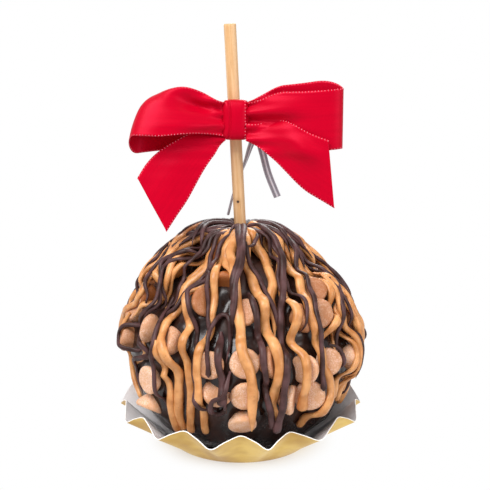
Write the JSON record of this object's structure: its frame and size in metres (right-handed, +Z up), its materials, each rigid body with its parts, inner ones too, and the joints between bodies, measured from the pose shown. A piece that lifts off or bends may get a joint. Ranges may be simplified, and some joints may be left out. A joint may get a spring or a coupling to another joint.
{
  "type": "chocolate caramel apple",
  "caption": "Dipped apple on a wooden stick with chocolate and caramel drizzle, baking chips, a satin ribbon bow and a fluted gold paper cup.",
  "frame": {"origin": "centre of the paper cup's flat underside, on the surface it stands on", "axes": "+Z up along the apple's axis, the bow and the front face -Y, +X is to the right of someone facing the front"},
  "size_m": [0.1038, 0.1072, 0.1692],
  "materials": {
    "coating": "set dark chocolate with caramel drizzle and matte tan baking chips",
    "stick_wood": "bare pale dowel with fine grain",
    "ribbon": "crimson satin with a stitched edge",
    "tie": "grey coated wire band",
    "gold_paper": "satin gold foil outside, pale grey board inside"
  },
  "bodies": {
    "root": {"coated_apple": "coating", "stick": "stick_wood", "bow_knot": "ribbon", "bow_loop_left": "ribbon", "bow_loop_right": "ribbon", "bow_tail_left": "ribbon", "bow_tail_right": "ribbon", "twist_tie": "tie", "paper_cup": "gold_paper"}
  },
  "joints": []
}
